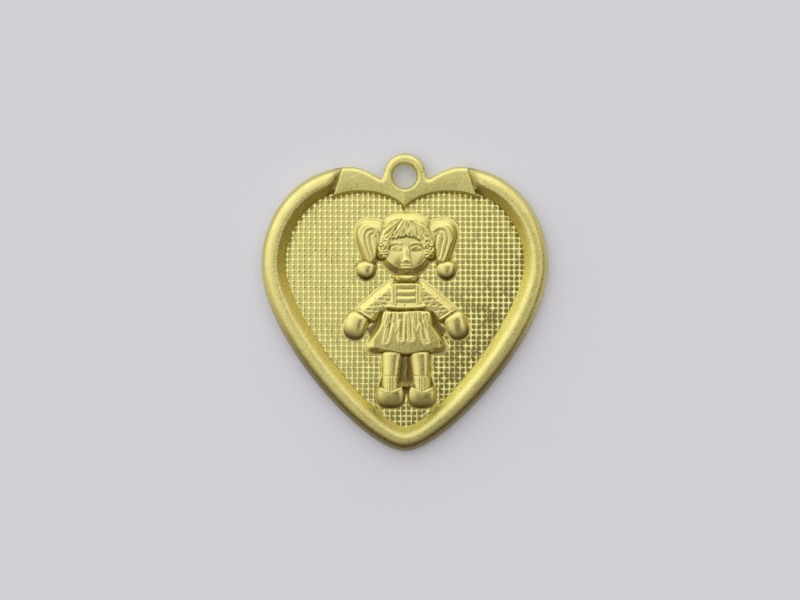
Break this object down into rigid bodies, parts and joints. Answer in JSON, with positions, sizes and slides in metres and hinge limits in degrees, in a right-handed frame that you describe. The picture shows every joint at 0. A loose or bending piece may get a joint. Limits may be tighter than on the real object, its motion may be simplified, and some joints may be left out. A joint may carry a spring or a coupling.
{
  "type": "heart charm",
  "caption": "Heart-shaped stamped brass charm with a raised hollow bead, smooth top collar, hanging eye and a small figure in relief on a recessed waffle ground.",
  "frame": {"origin": "middle of the outline, on the surface that the charm lies on", "axes": "+Z out of the struck face, +Y towards the hanging eye, +X to the right as seen from the front"},
  "size_m": [0.025, 0.026, 0.0015],
  "materials": {
    "struck_brass": "bright, as struck, raw",
    "satin_brass": "satin, tumbled, raw"
  },
  "bodies": {
    "root": {"ground_panel": "struck_brass", "rim_bead": "satin_brass", "top_collar": "satin_brass", "hanging_eye": "satin_brass", "figure_base": "struck_brass", "head": "struck_brass", "hair": "struck_brass", "left_bunch": "struck_brass", "right_bunch": "struck_brass", "left_puff": "struck_brass", "right_puff": "struck_brass", "neck_band": "struck_brass", "jumper": "struck_brass", "left_sleeve": "struck_brass", "right_sleeve": "struck_brass", "left_hand": "struck_brass", "right_hand": "struck_brass", "skirt": "struck_brass", "left_leg": "struck_brass", "right_leg": "struck_brass", "left_shoe": "struck_brass", "right_shoe": "struck_brass"}
  },
  "joints": []
}
